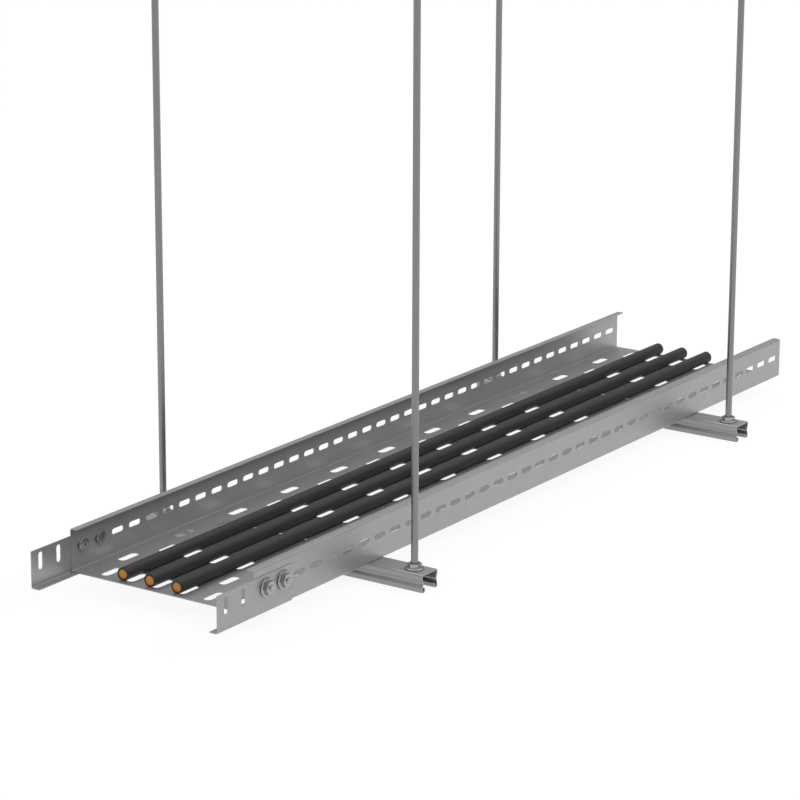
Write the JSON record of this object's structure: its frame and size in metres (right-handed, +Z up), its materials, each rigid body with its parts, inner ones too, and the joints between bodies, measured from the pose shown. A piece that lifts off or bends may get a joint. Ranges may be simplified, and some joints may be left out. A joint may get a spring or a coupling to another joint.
{
  "type": "cable raceway",
  "caption": "Perforated galvanised steel cable tray with splice couplers, carried on strut channels that hang on steel rods, with power cables lying in it.",
  "frame": {"origin": "on the ground plane under the strut channels' lips, at the middle of the bounding box", "axes": "+X along the tray, from the coupled end to the free end; +Y across the tray, to the back wall; +Z up along the rods"},
  "size_m": [1.215, 0.39, 1.011],
  "materials": {
    "galvanised_sheet": "galvanised, satin",
    "galvanised_strut": "galvanised, satin",
    "zinc_plated_steel": "zinc plated, satin",
    "black_pvc": "matt black cable sheath",
    "copper": "cut copper, satin"
  },
  "bodies": {
    "root": {"tray": "galvanised_sheet", "coupler_front": "galvanised_sheet", "coupler_back": "galvanised_sheet", "coupler_bolt_front_1": "zinc_plated_steel", "coupler_bolt_front_2": "zinc_plated_steel", "coupler_bolt_back_1": "zinc_plated_steel", "coupler_bolt_back_2": "zinc_plated_steel", "coupler_nut_front_1": "zinc_plated_steel", "coupler_nut_front_2": "zinc_plated_steel", "coupler_nut_back_1": "zinc_plated_steel", "coupler_nut_back_2": "zinc_plated_steel", "strut_1": "galvanised_strut", "strut_2": "galvanised_strut", "rod_1_front": "zinc_plated_steel", "rod_1_back": "zinc_plated_steel", "rod_2_front": "zinc_plated_steel", "rod_2_back": "zinc_plated_steel", "upper_nut_1_front": "zinc_plated_steel", "upper_nut_1_back": "zinc_plated_steel", "upper_nut_2_front": "zinc_plated_steel", "upper_nut_2_back": "zinc_plated_steel", "lower_nut_1_front": "zinc_plated_steel", "lower_nut_1_back": "zinc_plated_steel", "lower_nut_2_front": "zinc_plated_steel", "lower_nut_2_back": "zinc_plated_steel", "cable_sheath_1": "black_pvc", "cable_sheath_2": "black_pvc", "cable_sheath_3": "black_pvc", "cable_core_1": "copper", "cable_core_2": "copper", "cable_core_3": "copper"}
  },
  "joints": []
}
